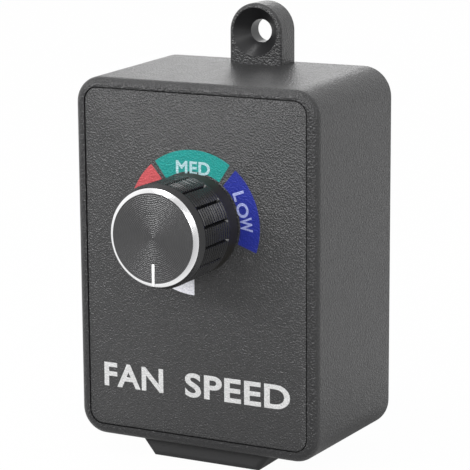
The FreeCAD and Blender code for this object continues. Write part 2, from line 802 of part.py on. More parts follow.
def make_control():
    groove = "shaft_radius - clip_groove"
    clip_rear = INNER_FRONT + " + bushing_length"
    tail = CAN_REAR + " + can_wall + rotor_gap"
    shaft = turned("pot_shaft", [
        ("0", INNER_FRONT + " + shaft_length"),
        ("shaft_radius", INNER_FRONT + " + shaft_length"),
        ("shaft_radius", clip_rear + " + clip_thickness + thread_gap"),
        (groove, clip_rear + " + clip_thickness + thread_gap"),
        (groove, clip_rear + " - thread_gap"),
        ("shaft_radius", clip_rear + " - thread_gap"),
        ("shaft_radius", tail),
        ("0", tail),
    ])
    flat = start_sketch(shaft, offset=INNER_FRONT + " + shaft_length")
    polygon(flat, [
        ("-1 * shaft_radius - 1", "shaft_flat"),
        ("-1 * shaft_radius - 1", "shaft_radius + 1"),
        ("shaft_radius + 1", "shaft_radius + 1"),
        ("shaft_radius + 1", "shaft_flat"),
    ])
    add_feature(shaft, "Pocket", flat, Length="flat_length")

    clip = start_body("shaft_clip")
    ring = start_sketch(clip, offset=clip_rear)
    circle(ring, "0", "0", "clip_radius")
    circle(ring, "0", "0", groove + " + thread_gap")
    add_feature(clip, "Pad", ring, Length="clip_thickness")
    gap = start_sketch(clip, offset=clip_rear + " + clip_thickness")
    polygon(gap, [
        ("clip_groove - shaft_radius", "0"),
        ("clip_groove - shaft_radius", "clip_radius + 1"),
        ("shaft_radius - clip_groove", "clip_radius + 1"),
        ("shaft_radius - clip_groove", "0"),
    ])
    add_feature(clip, "Pocket", gap, Length="clip_thickness")
    stand(clip, y="dial_height")

    bore = "shaft_radius + shaft_gap"
    bushing = turned("pot_bushing", [
        (bore, FLANGE_REAR),
        ("flange_radius", FLANGE_REAR),
        ("flange_radius", INNER_FRONT),
        ("bushing_radius", INNER_FRONT),
        ("bushing_radius", clip_rear + " - thread_gap * 2"),
        (bore, clip_rear + " - thread_gap * 2"),
    ])
    lug = start_sketch(bushing, offset=FLANGE_REAR)
    lug_outline(lug, "0 * bushing_gap", "0 * dial_height")
    add_feature(bushing, "Pad", lug, Length="flange_thickness + lug_reach")

    wafer = start_body("pot_element")
    disc = start_sketch(wafer, offset=WAFER_REAR)
    circle(disc, "0", "0", "flange_radius")
    add_feature(wafer, "Pad", disc, Length="wafer_thickness")
    foot = start_sketch(wafer, offset=WAFER_REAR)
    polygon(foot, [
        ("-1 * wafer_foot_half", "0"),
        ("-1 * wafer_foot_half", "-1 * wafer_foot"),
        ("wafer_foot_half", "-1 * wafer_foot"),
        ("wafer_foot_half", "0"),
    ])
    add_feature(wafer, "Pad", foot, Length="wafer_thickness")
    eye = start_sketch(wafer, offset=FLANGE_REAR)
    circle(eye, "0", "0", "shaft_radius + rotor_gap")
    add_feature(wafer, "Pocket", eye, Length="wafer_thickness")
    stand(wafer, y="dial_height")

    turned("pot_can", [
        ("shaft_radius + rotor_gap", CAN_REAR),
        ("flange_radius", CAN_REAR),
        ("flange_radius", WAFER_REAR),
        ("flange_radius - can_wall", WAFER_REAR),
        ("flange_radius - can_wall", CAN_REAR + " + can_wall"),
        ("shaft_radius + rotor_gap", CAN_REAR + " + can_wall"),
    ])
    rotor_front = WAFER_REAR + " - rotor_gap"
    rotor_rear = rotor_front + " - rotor_thickness"
    turned("pot_wiper", [
        ("shaft_radius + shaft_gap / 2", rotor_rear),
        ("rotor_radius", rotor_rear),
        ("rotor_radius", rotor_front + " - rotor_thickness / 2"),
        ("rotor_radius * 0.85", rotor_front + " - rotor_thickness / 2"),
        ("rotor_radius * 0.85", rotor_front),
        ("rotor_radius * 0.7", rotor_front),
        ("rotor_radius * 0.7", rotor_front + " - rotor_thickness / 2"),
        ("shaft_radius + shaft_gap / 2", rotor_front + " - rotor_thickness / 2"),
    ])
    turned("pot_washer", [
        ("bushing_radius + thread_gap", PANEL_FRONT),
        ("washer_radius", PANEL_FRONT),
        ("washer_radius", PANEL_FRONT + " + washer_thickness"),
        ("bushing_radius + thread_gap", PANEL_FRONT + " + washer_thickness"),
    ])
    nut = start_body("pot_nut")
    hexagon = start_sketch(nut, offset=PANEL_FRONT + " + washer_thickness")
    half = "nut_flats / 2"
    point = "nut_flats / sqrt(3)"
    polygon(hexagon, [
        (point, "0"),
        (point + " / 2", half),
        ("-1 * " + point + " / 2", half),
        ("-1 * " + point, "0"),
        ("-1 * " + point + " / 2", "-1 * " + half),
        (point + " / 2", "-1 * " + half),
    ])
    circle(hexagon, "0", "0", "bushing_radius + thread_gap")
    add_feature(nut, "Pad", hexagon, Length="nut_thickness")
    stand(nut, y="dial_height")


def make_control_pins():
    """Make the bent strips and the switch that reach back to the board."""
    strips = []
    foot = "-1 * wafer_foot"
    for place in (-1, 0, 1):
        x = "%d * pin_spacing - pin_width / 2" % place
        name = "terminal%d" % (place + 2)
        riveted = box(name + "_plate", (x, "pin_width"), (foot, "strip_rise"),
                      (WAFER_REAR + " - pin_thickness", "pin_thickness"))
        leg = box(name + "_leg", (x, "pin_width"), (foot, "pin_thickness"),
                  (BOARD_REAR + " - pin_tail",
                   "%s - pin_thickness - %s + pin_tail" % (WAFER_REAR, BOARD_REAR)))
        strips.append(join(name, [riveted, leg]))
    finish(group("terminals", strips), "pot_terminals", y="dial_height")

    length = "switch_length"
    rear = CAN_REAR + " - " + length
    parts = [rod("switch_case", "flange_radius", length, z=rear)]
    for place in (-1, 1):
        parts.append(rod("switch_pin", "lead_radius",
                         "%s - %s + pin_tail" % (rear, BOARD_REAR),
                         x="%d * pin_spacing" % place, z=BOARD_REAR + " - pin_tail"))
    finish(join("switch", parts), "pot_switch", y="dial_height")


# Electronics on the board

AXIAL_X = ["(%d * axial_pitch - axial_pitch / 2)" % place for place in range(-1, RESISTORS)]
CAPACITORS = (
    ("film_x", "film_y", "film_width"),
    ("film_x", "(-1 * snubber_y)", "snubber_width"),
)
SINK_FRONT = "(%s - part_lift)" % BOARD_REAR
SINK_REAR = "(%s - part_lift - sink_base)" % BOARD_REAR
TRIAC_X = "(sink_width - sink_left - triac_side - triac_width / 2)"
TRIAC_Y = "(triac_rise - sink_foot)"
TRIAC_LEAD_Y = "(-1 * sink_foot - triac_lead_out)"
TAB_HOLE_Y = "(triac_rise - sink_foot + triac_body + triac_tab / 2)"


def sink_pins():
    x = "(sink_pin_inset - sink_left)"
    return [(x, "(sink_pin_inset - sink_foot)"), (x, "(sink_height - sink_foot - sink_pin_inset)")]


def leads_at():
    """Give the place and radius of each lead that passes through the board."""
    places = []
    for place in (-1, 0, 1):
        places.append(("(%d * pin_spacing)" % place,
                       "(dial_height - wafer_foot + pin_thickness / 2)", "pin_width / 2"))
    for place in (-1, 1):
        places.append(("(%d * pin_spacing)" % place, "dial_height", "lead_radius"))
    for place in (-1, 0, 1):
        places.append(("(%s + %d * triac_width / 4)" % (TRIAC_X, place), TRIAC_LEAD_Y,
                       "lead_radius"))
    for x, y in sink_pins():
        places.append((x, y, "sink_pin_radius"))
    for x, y, span in CAPACITORS:
        for side in (1, -1):
            places.append(("(%s + %d * %s * 0.35)" % (x, side, span), y, "lead_radius"))
    for x in AXIAL_X:
        for side in (1, -1):
            places.append((x, "(%d * axial_span / 2 - axial_y)" % side, "lead_radius"))
    return places


def make_board():
    plate = box("board_plate", ("-1 * " + BOARD_HALF, "2 * " + BOARD_HALF),
                (BOARD_LOW, "%s - %s" % (BOARD_HIGH, BOARD_LOW)),
                (BOARD_REAR, "board_thickness"))
    tools = []
    for x, y in board_corners():
        tools.append(rod("board_hole", "board_screw_radius + head_gap",
                         "board_thickness", x, y, BOARD_REAR))
    for x, y, radius in leads_at():
        tools.append(rod("lead_hole", radius + " + lead_gap", "board_thickness",
                         x, y, BOARD_REAR))
    finish(cut("board", plate, tools), "circuit_board")


def pin(name, x, y, length):
    """Make a lead that runs forward through the board from behind it."""
    return rod(name, "lead_radius", length + " + board_thickness + pin_tail", x, y,
               "%s - (%s)" % (BOARD_REAR, length))


def make_heatsink():
    """Make the finned plate that lies on the board under the triac."""
    body = start_body("heatsink")
    profile = start_sketch(body, "XZ_Plane", "sink_foot")
    right = "sink_width - sink_left"
    points = [("-1 * sink_left", SINK_FRONT), (right, SINK_FRONT), (right, SINK_REAR)]
    for place in reversed(range(FINS)):
        outer = "%d * fin_pitch - sink_left" % place
        points.append((outer + " + fin_width", SINK_REAR))
        points.append((outer + " + fin_width", SINK_REAR + " - fin_height"))
        points.append((outer, SINK_REAR + " - fin_height"))
        if place:
            points.append((outer, SINK_REAR))
    polygon(profile, points)
    add_feature(body, "Pad", profile, Length="sink_height", Reversed=True)
    pins = start_sketch(body, offset=SINK_FRONT)
    for x, y in sink_pins():
        circle(pins, x, y, "sink_pin_radius")
    add_feature(body, "Pad", pins, Length="part_lift + board_thickness + pin_tail")
    hole = start_sketch(body, offset=SINK_FRONT)
    circle(hole, TRIAC_X, TAB_HOLE_Y, "screw_radius + thread_gap")
    add_feature(body, "Pocket", hole, Length="sink_base")
    return stand(body)


def make_triac():
    """Make the triac, flat on the heatsink with its leads bent to the board."""
    left = TRIAC_X + " - triac_width / 2"
    case = box("triac_case", (left, "triac_width"), (TRIAC_Y, "triac_body"),
               (SINK_REAR + " - triac_thickness", "triac_thickness"))
    tab = box("triac_tab", (left, "triac_width"), (TRIAC_Y, "triac_body + triac_tab"),
              (SINK_REAR + " - triac_tab_thickness", "triac_tab_thickness"))
    legs = []
    for place in (-1, 0, 1):
        x = "(%s + %d * triac_width / 4)" % (TRIAC_X, place)
        legs.append(rod("triac_leg", "lead_radius * 0.8",
                        "triac_lead_out + triac_rise + triac_lead_root",
                        x, TRIAC_LEAD_Y, SINK_REAR + " - triac_thickness / 2", "up"))
        legs.append(pin("triac_pin", x, TRIAC_LEAD_Y,
                        "part_lift + sink_base + triac_thickness / 2 + lead_radius"))
    hole = rod("triac_hole", "screw_radius + thread_gap", "triac_tab_thickness",
               TRIAC_X, TAB_HOLE_Y, SINK_REAR + " - triac_tab_thickness")
    finish(cut("triac_blank", join("triac_solid", [case, tab] + legs), [hole]), "triac")


def make_choke():
    rear = "%s - part_lift - wire_size - wire_gap - core_thickness" % BOARD_REAR
    core = start_body("choke_core")
    ring = start_sketch(core, offset=rear)
    circle(ring, "0", "0", "core_radius")
    circle(ring, "0", "0", "core_bore")
    add_feature(core, "Pad", ring, Length="core_thickness")
    stand(core, "choke_x", "choke_y")

    wire = start_body("choke_winding")
    turn = start_sketch(wire, "XZ_Plane")
    inner = ["core_bore - wire_gap", "core_radius + wire_gap",
             rear + " - wire_gap", rear + " + core_thickness + wire_gap"]
    outer = [inner[0] + " - wire_size", inner[1] + " + wire_size",
             inner[2] + " - wire_size", inner[3] + " + wire_size"]
    for left, right, low, high in (outer, inner):
        polygon(turn, [(left, low), (right, low), (right, high), (left, high)])
    pad = add_feature(wire, "Pad", turn, Length="wire_size", Midplane=True)
    pattern = wire.newObject("PartDesign::PolarPattern", "choke_turns")
    pattern.Originals = [pad]
    pattern.Axis = (origin_feature(wire, "Z_Axis"), [""])
    pattern.Angle = 360
    pattern.Occurrences = TURNS
    wire.Tip = pattern
    doc.recompute()
    stand(wire, "choke_x", "choke_y")


def make_capacitors():
    for label, (x, y, wide) in zip(("film_capacitor", "snubber_capacitor"), CAPACITORS):
        kind = label.split("_")[0]
        deep, tall = kind + "_depth", kind + "_height"
        case = box(kind + "_case", ("%s - %s / 2" % (x, wide), wide),
                   ("%s - %s / 2" % (y, deep), deep),
                   ("%s - part_lift - %s" % (BOARD_REAR, tall), tall))
        doc.recompute()
        soft = doc.addObject("Part::Chamfer", kind + "_soft")
        soft.Base = case
        edge = value("part_edge")
        soft.Edges = [(number, edge, edge) for number in range(1, 13)]
        legs = [pin(kind + "_leg", "%s + %d * %s * 0.35" % (x, side, wide), y, "part_lift * 2")
                for side in (1, -1)]
        finish(join(kind, [soft] + legs), label)


def axial_part(name, x, radius, length):
    """Make a small axial part with both leads bent into the board."""
    height = "%s - part_lift - resistor_radius" % BOARD_REAR
    parts = [
        rod(name + "_body", radius, length, x, "-1 * axial_y - %s / 2" % length, height, "up"),
        rod(name + "_wire", "lead_radius * 0.8", "axial_span",
            x, "-1 * axial_y - axial_span / 2", height, "up"),
    ]
    for side in (1, -1):
        parts.append(pin(name + "_leg", x, "%d * axial_span / 2 - axial_y" % side,
                         "part_lift + resistor_radius + lead_radius"))
    return join(name, parts)


def make_axial_parts():
    resistors = [axial_part("resistor%d" % number, x, "resistor_radius", "resistor_length")
                 for number, x in enumerate(AXIAL_X[1:])]
    finish(group("resistor_row", resistors), "resistors")
    finish(axial_part("diac_solid", AXIAL_X[0], "diac_radius", "diac_length"), "diac")


def make_fuse():
    """Make the fuse, upright in its two spring clips left of the terminals."""
    x = "-1 * fuse_x"
    low = "-1 * fuse_y - fuse_length / 2"
    height = BOARD_REAR + " - fuse_lift"
    glass, hollow = (
        rod("fuse_" + name, radius, "fuse_length - cap_wall * 2",
            x, low + " + cap_wall", height, "up")
        for name, radius in (("glass", "fuse_radius"), ("hollow", "fuse_radius - glass_wall")))
    finish(cut("fuse_glass_tube", glass, [hollow]), "fuse_tube")
    caps, clips = [], []
    outer = "(fuse_radius + cap_wall + clip_wall)"
    for side, start in enumerate((low, low + " + fuse_length - cap_length")):
        shell = rod("cap_blank%d" % side, "fuse_radius + cap_wall", "cap_length",
                    x, start, height, "up")
        bore = rod("cap_bore%d" % side, "fuse_radius", "cap_length - cap_wall",
                   x, start + (" + cap_wall" if side == 0 else ""), height, "up")
        caps.append(cut("cap%d" % side, shell, [bore]))
        foot = box("clip_foot%d" % side, (x + " - " + outer, "2 * " + outer),
                   (start + " + (cap_length - clip_width) / 2", "clip_width"),
                   (height + " - clip_reach", "fuse_lift + clip_reach"))
        space = rod("clip_bore%d" % side, "fuse_radius + cap_wall", "cap_length",
                    x, start, height, "up")
        mouth = box("clip_mouth%d" % side, (x + " - clip_mouth / 2", "clip_mouth"),
                    (start, "cap_length"), (height + " - fuse_radius * 2", "fuse_radius * 2"))
        clips.append(cut("clip%d" % side, foot, [space, mouth]))
    finish(group("caps", caps), "fuse_caps")
    finish(group("clips", clips), "fuse_clips")


def make_terminal_block():
    half = "(block_pitch * %d / 2)" % TERMINALS
    rear = BOARD_REAR + " - block_height"
    foot = "-1 * block_y - block_depth / 2"
    case = box("block_case", ("-1 * " + half, "2 * " + half), (foot, "block_depth"),
               (rear, "block_height"))
    tools, screws = [], []
    for place in range(TERMINALS):
        x = "%s * block_pitch" % (place - (TERMINALS - 1) / 2)
        tools.append(box("wire_entry%d" % place, (x + " - wire_entry / 2", "wire_entry"),
                         (foot, "block_depth - block_wall"),
                         (BOARD_REAR + " - block_floor - wire_entry", "wire_entry")))
        tools.append(rod("screw_well%d" % place, "block_screw_radius + thread_gap",
                         "block_height - block_floor - wire_entry", x, "-1 * block_y", rear))
        blank = rod("block_screw_rod%d" % place, "block_screw_radius", "block_screw_length",
                    x, "-1 * block_y", rear + " + head_gap")
        slot = box("block_slot%d" % place,
                   (x + " - block_screw_radius", "2 * block_screw_radius"),
                   ("-1 * block_y - recess_width / 2", "recess_width"),
                   (rear + " + head_gap", "recess_depth"))
        screws.append(cut("block_screw%d" % place, blank, [slot]))
    finish(cut("block", case, tools), "terminal_block")
    finish(group("block_screws", screws), "terminal_screws")


def make_clamp():
    rear = INLET_FORWARD + " - clamp_thickness"
    bar = box("clamp_bar", ("-1 * clamp_half", "2 * clamp_half"),
              (CLAMP_Y + " - clamp_rise / 2", "clamp_rise"), (rear, "clamp_thickness"))
    tools = []
    for side in (1, -1):
        tools.append(rod("clamp_groove", "inlet_radius - grip_squeeze", "clamp_rise",
                         "%d * inlet_spacing / 2" % side, CLAMP_Y + " - clamp_rise / 2",
                         INLET_FORWARD, "up"))
        tools.append(rod("clamp_hole", "screw_radius + head_gap", "clamp_thickness",
                         "%d * clamp_screw_spacing / 2" % side, CLAMP_Y, rear))
    finish(cut("clamp", bar, tools), "cord_clamp")


def make_screws():
    large = ("screw_radius", "head_radius", "head_height")
    small = ("board_screw_radius", "board_head_radius", "board_head_height")
    cover = [screw("cover_screw%d" % number, signed(across, PILLAR_X), signed(up, PILLAR_Y),
                   "head_height", large, "cover_thickness - head_height + screw_length")
             for number, (across, up) in enumerate(CORNERS)]
    finish(group("cover_set", cover), "cover_screws")
    board = [screw("board_screw%d" % number, x, y, BOARD_REAR, small,
                   "board_thickness + board_screw_length")
             for number, (x, y) in enumerate(board_corners())]
    finish(group("board_set", board), "board_screws")
    clamp = [screw("clamp_screw%d" % number, "%d * clamp_screw_spacing / 2" % side, CLAMP_Y,
                   "(%s - clamp_thickness)" % INLET_FORWARD, large,
                   "clamp_thickness + screw_length")
             for number, side in enumerate((1, -1))]
    finish(group("clamp_set", clamp), "clamp_screws")
    finish(screw("sink_screw", TRIAC_X, TAB_HOLE_Y, "(%s - triac_tab_thickness)" % SINK_REAR,
                 large, "triac_tab_thickness + sink_base"), "heatsink_screw")


NODES = (
    "front_housing", "back_cover", "cover_screws", "face_panel",
    "control_knob", "knob_insert", "pot_shaft", "shaft_clip", "pot_wiper",
    "pot_bushing", "pot_element", "pot_can", "pot_washer", "pot_nut",
    "pot_terminals", "pot_switch", "circuit_board", "board_screws",
    "heatsink", "triac", "heatsink_screw",
    "choke_core", "choke_winding", "film_capacitor", "snubber_capacitor",
    "resistors", "diac", "fuse_tube", "fuse_caps", "fuse_clips",
    "terminal_block", "terminal_screws", "cord_clamp", "clamp_screws",
)

make_housing()
make_cover()
make_panel()
make_knob()
make_insert()
make_control()
make_control_pins()
make_board()
make_heatsink()
make_triac()
make_choke()
make_capacitors()
make_axial_parts()
make_fuse()
make_terminal_block()
make_clamp()
make_screws()
doc.recompute()

for item in doc.Objects:
    if "Invalid" in item.State or "Error" in item.State:
        raise RuntimeError("%s was not made: %s" % (item.Label, item.State))
os.makedirs("parts", exist_ok=True)
for label in NODES:
    solid = doc.getObjectsByLabel(label)[0].Shape
    if solid.isNull() or not solid.isValid() or not solid.Solids:
        raise RuntimeError("%s has no valid solid" % label)
for label in NODES:
    solid = doc.getObjectsByLabel(label)[0].Shape
    solid.exportStep(os.path.join("parts", label + ".step"))
    box_size = solid.BoundBox
    print("%-18s %2d solids %9.1f mm3  x %7.2f %7.2f  y %7.2f %7.2f  z %7.2f %7.2f" % (
        label, len(solid.Solids), solid.Volume, box_size.XMin, box_size.XMax,
        box_size.YMin, box_size.YMax, box_size.ZMin, box_size.ZMax))
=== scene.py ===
"""Looks, light and camera for the fan speed control switch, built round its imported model."""
import json
import math

import bmesh
import bpy
from mathutils import Matrix, Vector


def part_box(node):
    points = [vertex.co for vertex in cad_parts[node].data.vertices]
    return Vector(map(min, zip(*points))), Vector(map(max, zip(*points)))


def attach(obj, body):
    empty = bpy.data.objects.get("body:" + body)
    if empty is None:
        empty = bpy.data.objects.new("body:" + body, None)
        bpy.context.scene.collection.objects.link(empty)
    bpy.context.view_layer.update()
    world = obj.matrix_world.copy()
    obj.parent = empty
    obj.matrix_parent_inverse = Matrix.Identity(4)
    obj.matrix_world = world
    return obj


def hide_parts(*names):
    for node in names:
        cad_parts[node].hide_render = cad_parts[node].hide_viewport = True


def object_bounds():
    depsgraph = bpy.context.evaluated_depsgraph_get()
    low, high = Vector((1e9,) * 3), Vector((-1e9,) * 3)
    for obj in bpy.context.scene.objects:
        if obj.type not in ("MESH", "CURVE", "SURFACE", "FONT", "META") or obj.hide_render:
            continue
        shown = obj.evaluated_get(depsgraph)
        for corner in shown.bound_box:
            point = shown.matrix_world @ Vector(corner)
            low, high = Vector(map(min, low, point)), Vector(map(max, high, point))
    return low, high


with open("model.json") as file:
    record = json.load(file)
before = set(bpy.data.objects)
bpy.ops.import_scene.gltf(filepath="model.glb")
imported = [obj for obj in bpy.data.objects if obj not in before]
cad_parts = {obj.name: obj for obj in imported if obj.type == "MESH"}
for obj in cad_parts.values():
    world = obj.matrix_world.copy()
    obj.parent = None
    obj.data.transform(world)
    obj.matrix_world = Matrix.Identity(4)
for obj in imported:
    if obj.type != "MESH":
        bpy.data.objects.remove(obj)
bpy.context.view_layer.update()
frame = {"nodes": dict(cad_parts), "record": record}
nodes = frame["nodes"]

MM = 0.001

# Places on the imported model, in metres
PANEL_LOW, PANEL_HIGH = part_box("face_panel")
KNOB_LOW, KNOB_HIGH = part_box("control_knob")
PANEL_FRONT = PANEL_LOW.y
KNOB_FRONT = KNOB_LOW.y
DIAL = Vector((0, 0, (KNOB_LOW.z + KNOB_HIGH.z) / 2))
FLOOR_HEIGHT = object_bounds()[0].z
HANG_HEIGHT = 62.8 * MM
HANG_CONE_RADIUS = 7.1 * MM
BOSS_TOP = -52.55 * MM

# Knob, in millimetres: radii first, then depths behind its face
FACE, RIM, GRIP, GRIP_REAR, FOOT = 12.5, 13.7, 14.6, 14.45, 14.3
BEVEL_REAR, FOOT_START = 1.05, 17.3
COLUMNS, COLUMN_PHASE = 192, 8.5
FACE_MARKS, FIRST_MARK, MARK_PITCH, MARK_DEPTH = 24, 0.3, 0.5, 0.076
RIDGES, RIDGES_START, RIDGES_END, VALLEY = 11, 3.2, 17.1, 0.45
NOTCHES, NOTCH_START, NOTCH_END, NOTCH_INSIDE, NOTCH_SCALE = 16, 3.3, 16.9, 13.8, 0.942

# Pointer, in millimetres
POINTER_WIDTH, POINTER_OUTER, POINTER_INNER = 0.9, 13.35, 7.1
POINTER_PROUD, POINTER_SUNK, POINTER_EDGE = 0.03, 0.3, 0.12

# Panel and print, in millimetres
PANEL_CORNER, PANEL_EDGE, SHAFT_HOLE_RADIUS = 3.8, 0.15, 3.6
RING_INNER, RING_OUTER, RING_THICKNESS = 14.7, 20.75, 0.03
LETTER_FRONT, LETTER_EXTRUDE, LETTER_STROKE, LETTER_FLATTEN = 0.035, 0.1, 0.26, 0.05

# Levels of the white paper and the dimmer room round the object, and of the painted shadow in
# the floor's glow beneath it
ROOM_FRONT, ROOM_BACK = 0.35, 1.0
SKY_LOW, SKY_HIGH = 0.3, 0.9
FLOOR_PAINTED_SHADOW, PAINTED_SHADOW_END, PAINTED_SHADOW_FADED = 0.3, 0.07, 0.09
FLOOR_SEEN, FLOOR_GLOW_SHARE = 1.04, 0.94

# Lamps by name: place and size in metres, power in watts
LAMPS = {
    "front": ((-0.42, -0.70, 0.36), (0.8, 0.2), 4.4),
    "near": ((0.42, -0.85, 0.3), (0.5, 0.5), 4.0),
    "side": ((0.75, -0.48, 0.45), (0.25, 0.25), 0.5),
    "top": ((-0.15, -0.3, 0.87), (0.2, 0.2), 1.7),
    "rear": ((-0.5, 1.05, 0.36), (0.35, 0.35), 0.55),
}

# Camera, in degrees and millimetres
CAMERA_AZIMUTH, CAMERA_ELEVATION, CAMERA_ROLL = 27.71, 11.93, -0.36
CAMERA_TARGET, CAMERA_DISTANCE = (2.55, -27.0, 6.26), 623.45
CAMERA_LENS, CAMERA_SENSOR = 165.87, 36

# Colours of the print
INKS = {
    "ink_teal": (0.007, 0.265, 0.24),
    "ink_blue": (0.011, 0.021, 0.255),
    "ink_red": (0.52, 0.08, 0.09),
    "ink_white": (0.93, 0.93, 0.99),
    "ink_black": (0.015, 0.015, 0.016),
    "ink_pale_teal": (0.38, 0.57, 0.60),
    "ink_pale_blue": (0.33, 0.37, 0.66),
    "ink_pale_red": (0.58, 0.46, 0.48),
    "ink_legend": (0.60, 0.60, 0.60),
}

# Colour and roughness of the bare metals
METALS = {
    "screw_steel": ((0.56, 0.56, 0.57), 0.3),
    "plated_steel": ((0.62, 0.61, 0.59), 0.26),
    "bushing_brass": ((0.72, 0.55, 0.27), 0.28),
    "tinned_metal": ((0.68, 0.68, 0.66), 0.38),
    "sink_aluminium": ((0.62, 0.63, 0.64), 0.4),
}


# Shader maths

class Wire:
    """A value on its way through a material; sums on it add Math nodes."""

    def __init__(self, finish, socket):
        self.finish = finish
        self.socket = socket

    def __add__(self, other):
        return self.finish.math("ADD", self, other)

    def __sub__(self, other):
        return self.finish.math("SUBTRACT", self, other)

    def __rsub__(self, other):
        return self.finish.math("SUBTRACT", other, self)

    def __mul__(self, other):
        return self.finish.math("MULTIPLY", self, other)

    def __lt__(self, other):
        return self.finish.math("LESS_THAN", self, other)

    def __gt__(self, other):
        return self.finish.math("GREATER_THAN", self, other)

    __radd__ = __add__
    __rmul__ = __mul__


class Finish:
    """One material: its node tree and the shader at the end of it."""

    def __init__(self, name, colour, roughness, **constants):
        self.material = bpy.data.materials.new(name)
        self.material.use_nodes = True
        self.tree = self.material.node_tree
        self.shader = self.tree.nodes["Principled BSDF"]
        self.colour = (*colour, 1.0)
        self.set("Base Color", self.colour)
        self.set("Roughness", roughness)
        for socket, value in constants.items():
            self.set(socket.replace("_", " "), value)
        self.material.diffuse_color = self.colour

    def add(self, kind, settings, sockets, output=0):
        """Add a node with its settings first, then the values or wires of its sockets."""
        node = self.tree.nodes.new("ShaderNode" + kind)
        for name, value in settings.items():
            setattr(node, name, value)
        for name, value in sockets.items():
            self.feed(node.inputs[name], value)
        return Wire(self, node.outputs[output])

    def feed(self, socket, value):
        """Put a wire or a plain value into a socket."""
        if isinstance(value, Wire):
            self.tree.links.new(value.socket, socket)
        else:
            socket.default_value = value

    def set(self, socket, value):
        """Feed a socket of the shader."""
        self.feed(self.shader.inputs[socket], value)

    def math(self, operation, first, second):
        """Work out one sum of two values or wires."""
        return self.add("Math", {"operation": operation}, {0: first, 1: second})

    def place(self):
        """Give the place on the object, in metres."""
        return self.add("TexCoord", {}, {}, "Object")

    def along(self, axis):
        """Give the place along one axis."""
        return self.add("SeparateXYZ", {}, {"Vector": self.place()}, axis)

    def noise(self, size, detail=2.0):
        """Give a soft random pattern with lumps of the given size in millimetres."""
        sockets = {"Vector": self.place(), "Scale": 1 / (size * MM), "Detail": detail}
        return self.add("TexNoise", {}, sockets)

    def rings(self, size):
        """Give a random pattern of turning lines round the dial's axis."""
        sockets = {"W": self.along(1), "Scale": 1 / (size * MM), "Detail": 2.0}
        return self.add("TexNoise", {"noise_dimensions": "1D"}, sockets)

    def cells(self, size):
        """Give the soft distance to the nearest of scattered points that lie this far apart."""
        sockets = {"Vector": self.place(), "Scale": 1 / (size * MM), "Randomness": 1.0}
        return self.add("TexVoronoi", {"feature": "SMOOTH_F1"}, sockets)

    def blend(self, factor, first, second):
        """Mix two colours."""
        return self.add("Mix", {"data_type": "RGBA"}, {0: factor, 6: first, 7: second}, 2)

    def mottled(self, size, share):
        """Give the colour, drifting a little lighter and darker over the surface."""
        dark, light = (tuple(channel * level for channel in self.colour[:3]) + (1.0,)
                       for level in (1 - share, 1 + share))
        return self.blend(self.noise(size), dark, light)

    def mottle(self, size, share):
        """Let the colour drift."""
        self.set("Base Color", self.mottled(size, share))

    def wear(self, size, low, high):
        """Let the roughness drift between two values."""
        self.set("Roughness", self.noise(size, 3.0) * (high - low) + low)

    def emboss(self, height, depth):
        """Raise the surface by a pattern, whose full height is the depth in millimetres."""
        self.set("Normal", self.add(
            "Bump", {}, {"Strength": 1.0, "Distance": depth * MM, "Height": height}))


def pebble(finish, size, depth, share=1.0):
    """Emboss the spark-eroded grain of a moulded housing."""
    lumps = finish.cells(size)
    fine = finish.noise(size * 0.6, 3.0)
    finish.emboss((lumps * 1.1 + fine * 0.3) * share, depth)


